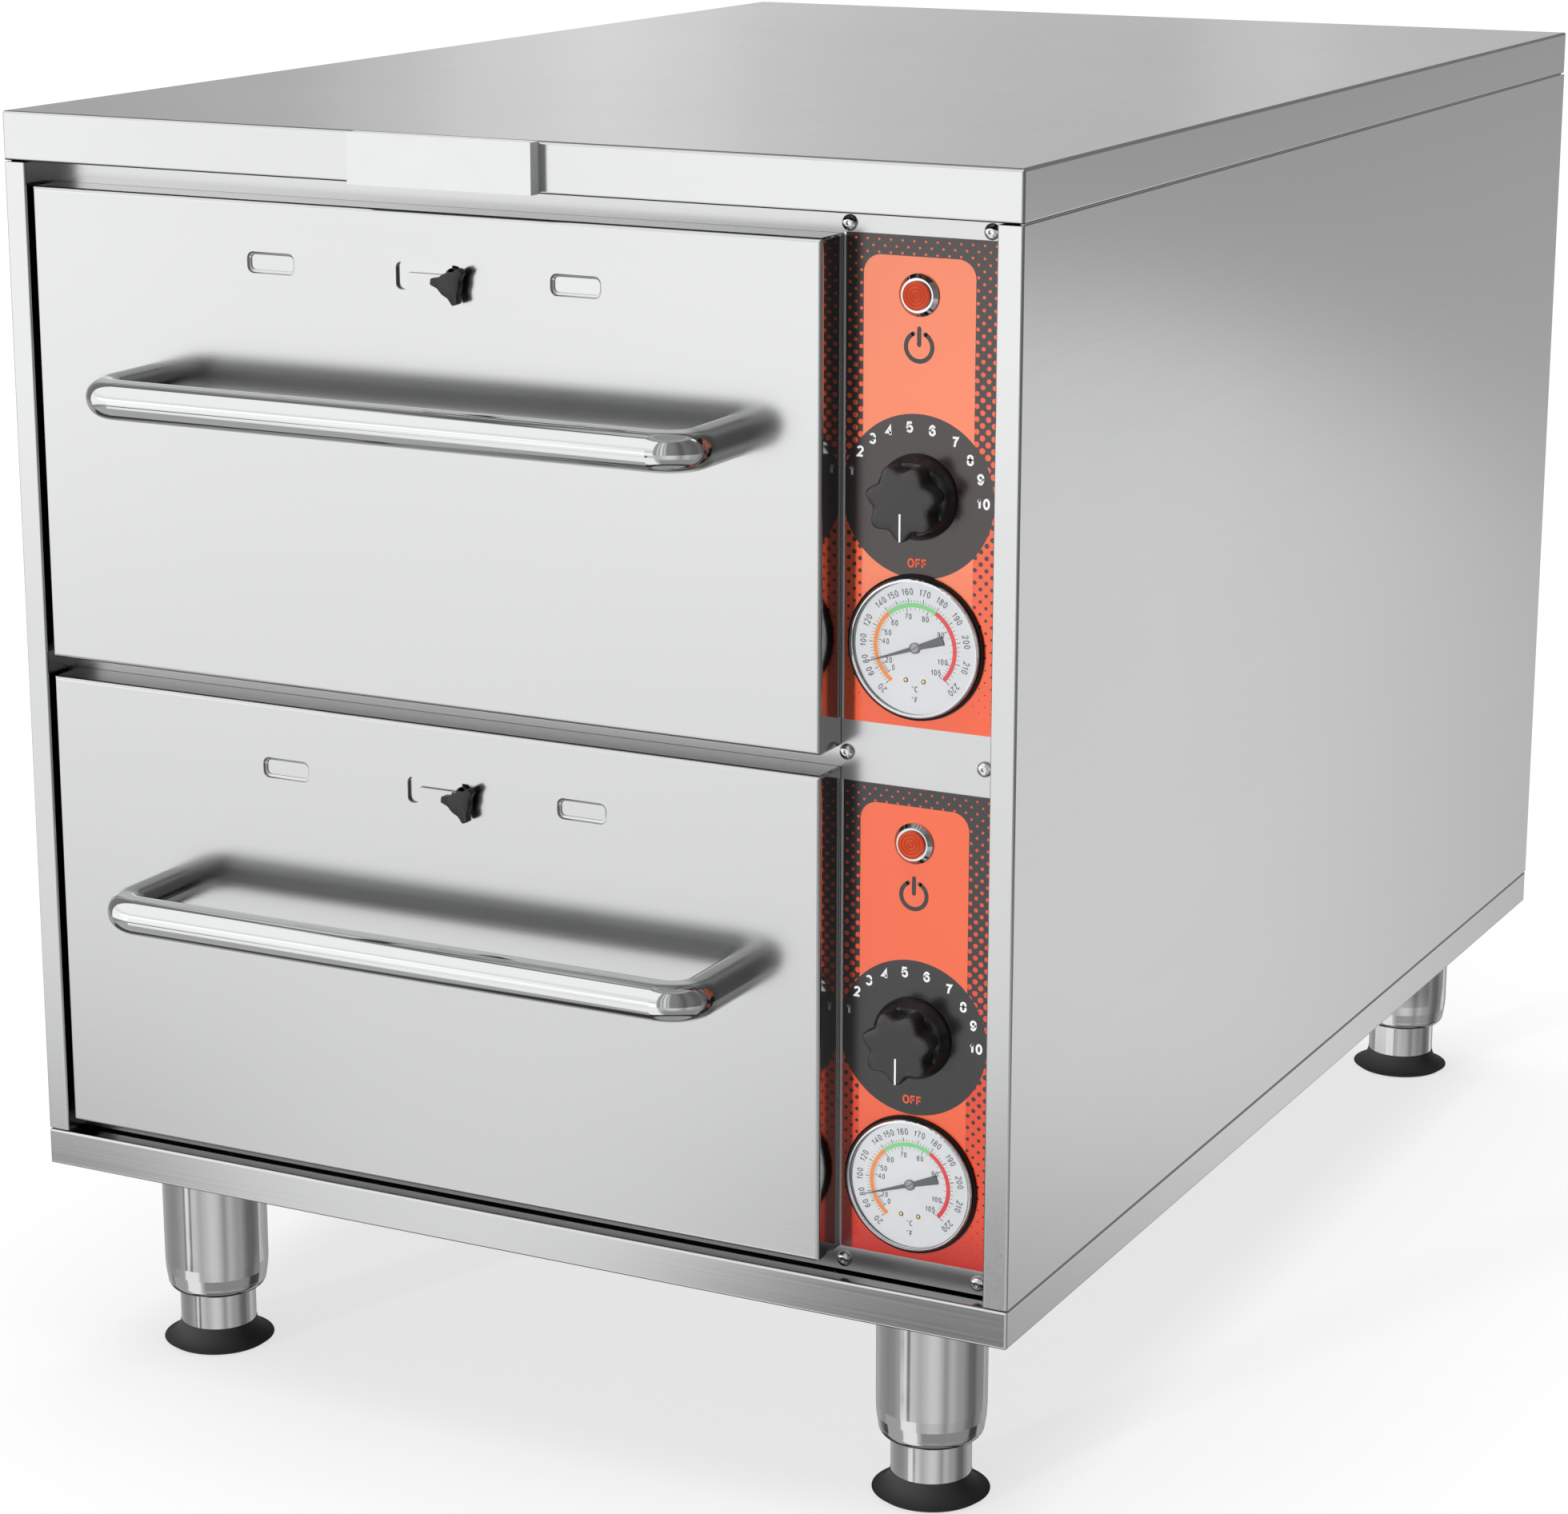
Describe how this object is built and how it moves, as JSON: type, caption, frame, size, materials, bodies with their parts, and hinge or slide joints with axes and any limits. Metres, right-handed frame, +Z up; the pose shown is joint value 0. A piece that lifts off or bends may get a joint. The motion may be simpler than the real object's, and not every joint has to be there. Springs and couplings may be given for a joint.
{
  "type": "countertop warming drawer",
  "caption": "Steel countertop food warmer with stacked pull-out drawers, bar handles, a control strip with knobs and dial gauges, sliding vents and adjustable legs.",
  "frame": {"origin": "on the floor, under the centre of the overall box (handles and cord gland included in the depth)", "axes": "+X to the right as seen from the front, +Y from the drawer fronts to the rear, +Z up"},
  "size_m": [0.505, 0.8164, 0.6041],
  "materials": {
    "brushed_steel": "satin",
    "inner_steel": "satin",
    "polished_chrome": "polished",
    "handle_chrome": "polished",
    "pan_steel": "satin",
    "black_plastic": "satin",
    "black_rubber": "matte",
    "upper_label_print": "satin",
    "lower_label_print": "satin",
    "pilot_orange": "gloss",
    "dial_white": "satin",
    "gauge_glass": "gloss",
    "needle_black": "matte",
    "nameplate_white": "gloss",
    "insulation_wool": "matte",
    "element_sheath": "matte",
    "copper_bulb": "satin",
    "thermostat_body": "satin",
    "terminal_ceramic": "satin"
  },
  "bodies": {
    "cabinet": {"top_cover": "brushed_steel", "left_side_panel": "brushed_steel", "right_side_panel": "brushed_steel", "rear_panel": "brushed_steel", "base_pan": "brushed_steel", "front_panel": "brushed_steel", "cavity_liners": "inner_steel", "control_partition": "inner_steel", "insulation": "insulation_wool", "outer_rails": "inner_steel", "heating_elements": "element_sheath", "sensor_bulbs": "copper_bulb", "thermostats": "thermostat_body", "upper_control_label": "upper_label_print", "lower_control_label": "lower_label_print", "pilot_bezels": "polished_chrome", "pilot_lenses": "pilot_orange", "gauge_cases": "dial_white", "gauge_bezels": "polished_chrome", "gauge_lenses": "gauge_glass", "panel_screws": "polished_chrome", "nameplate": "nameplate_white", "rear_access_cover": "brushed_steel", "rear_cover_screws": "polished_chrome", "cord_gland": "black_plastic", "terminal_block": "terminal_ceramic", "leg_plates": "inner_steel", "leg_tubes": "brushed_steel"},
    "foot_front_left": {"foot_front_left": "brushed_steel", "pad_front_left": "black_rubber"},
    "foot_front_right": {"foot_front_right": "brushed_steel", "pad_front_right": "black_rubber"},
    "foot_rear_left": {"foot_rear_left": "brushed_steel", "pad_rear_left": "black_rubber"},
    "foot_rear_right": {"foot_rear_right": "brushed_steel", "pad_rear_right": "black_rubber"},
    "upper_drawer": {"upper_drawer_front": "brushed_steel", "upper_drawer_liner": "inner_steel", "upper_carriage": "inner_steel", "upper_pan": "pan_steel", "upper_handle": "handle_chrome", "upper_handle_screws": "inner_steel"},
    "upper_slide_members": {"upper_mid_rails": "inner_steel"},
    "upper_vent_shutter": {"upper_vent_plate": "brushed_steel"},
    "upper_vent_thumb_knob": {"upper_vent_knob": "black_plastic"},
    "upper_thermostat_knob": {"upper_temp_knob": "black_plastic", "upper_knob_shaft": "inner_steel"},
    "upper_needle": {"upper_gauge_needle": "needle_black"},
    "lower_drawer": {"lower_drawer_front": "brushed_steel", "lower_drawer_liner": "inner_steel", "lower_carriage": "inner_steel", "lower_pan": "pan_steel", "lower_handle": "handle_chrome", "lower_handle_screws": "inner_steel"},
    "lower_slide_members": {"lower_mid_rails": "inner_steel"},
    "lower_vent_shutter": {"lower_vent_plate": "brushed_steel"},
    "lower_vent_thumb_knob": {"lower_vent_knob": "black_plastic"},
    "lower_thermostat_knob": {"lower_temp_knob": "black_plastic", "lower_knob_shaft": "inner_steel"},
    "lower_needle": {"lower_gauge_needle": "needle_black"}
  },
  "joints": [
    {"name": "upper_drawer_slide", "type": "slide", "parent": "cabinet", "child": "upper_drawer", "axis": [0, -1, 0], "range_m": [0, 0.53]},
    {"name": "upper_slide_members_slide", "type": "slide", "parent": "cabinet", "child": "upper_slide_members", "axis": [0, -1, 0], "range_m": [0, 0.265]},
    {"name": "upper_vent_slide", "type": "slide", "parent": "upper_drawer", "child": "upper_vent_shutter", "axis": [-1, 0, 0], "range_m": [0, 0.027]},
    {"name": "upper_vent_knob_drop", "type": "slide", "parent": "upper_vent_shutter", "child": "upper_vent_thumb_knob", "axis": [0, 0, -1], "range_m": [0, 0.0075]},
    {"name": "upper_temp_knob_turn", "type": "hinge", "parent": "cabinet", "child": "upper_thermostat_knob", "pos_m": [0.1977, -0.3478, 0.4629], "axis": [0, 1, 0], "range_deg": [0, 270]},
    {"name": "upper_needle_turn", "type": "hinge", "parent": "cabinet", "child": "upper_needle", "pos_m": [0.1977, -0.3401, 0.3985], "axis": [0, 1, 0], "range_deg": [-32, 241], "stiffness_Nm_per_rad": 0.0005},
    {"name": "lower_drawer_slide", "type": "slide", "parent": "cabinet", "child": "lower_drawer", "axis": [0, -1, 0], "range_m": [0, 0.53]},
    {"name": "lower_slide_members_slide", "type": "slide", "parent": "cabinet", "child": "lower_slide_members", "axis": [0, -1, 0], "range_m": [0, 0.265]},
    {"name": "lower_vent_slide", "type": "slide", "parent": "lower_drawer", "child": "lower_vent_shutter", "axis": [-1, 0, 0], "range_m": [0, 0.027]},
    {"name": "lower_vent_knob_drop", "type": "slide", "parent": "lower_vent_shutter", "child": "lower_vent_thumb_knob", "axis": [0, 0, -1], "range_m": [0, 0.0075]},
    {"name": "lower_temp_knob_turn", "type": "hinge", "parent": "cabinet", "child": "lower_thermostat_knob", "pos_m": [0.1977, -0.3478, 0.2255], "axis": [0, 1, 0], "range_deg": [0, 270]},
    {"name": "lower_needle_turn", "type": "hinge", "parent": "cabinet", "child": "lower_needle", "pos_m": [0.1977, -0.3401, 0.1586], "axis": [0, 1, 0], "range_deg": [-32, 241], "stiffness_Nm_per_rad": 0.0005},
    {"name": "foot_front_left_height", "type": "slide", "parent": "cabinet", "child": "foot_front_left", "axis": [0, 0, 1], "range_m": [-0.025, 0.01]},
    {"name": "foot_front_right_height", "type": "slide", "parent": "cabinet", "child": "foot_front_right", "axis": [0, 0, 1], "range_m": [-0.025, 0.01]},
    {"name": "foot_rear_left_height", "type": "slide", "parent": "cabinet", "child": "foot_rear_left", "axis": [0, 0, 1], "range_m": [-0.025, 0.01]},
    {"name": "foot_rear_right_height", "type": "slide", "parent": "cabinet", "child": "foot_rear_right", "axis": [0, 0, 1], "range_m": [-0.025, 0.01]}
  ],
  "couplings": [
    {"joint": "upper_slide_members_slide", "follows": "upper_drawer_slide", "ratio": 0.5},
    {"joint": "lower_slide_members_slide", "follows": "lower_drawer_slide", "ratio": 0.5}
  ]
}
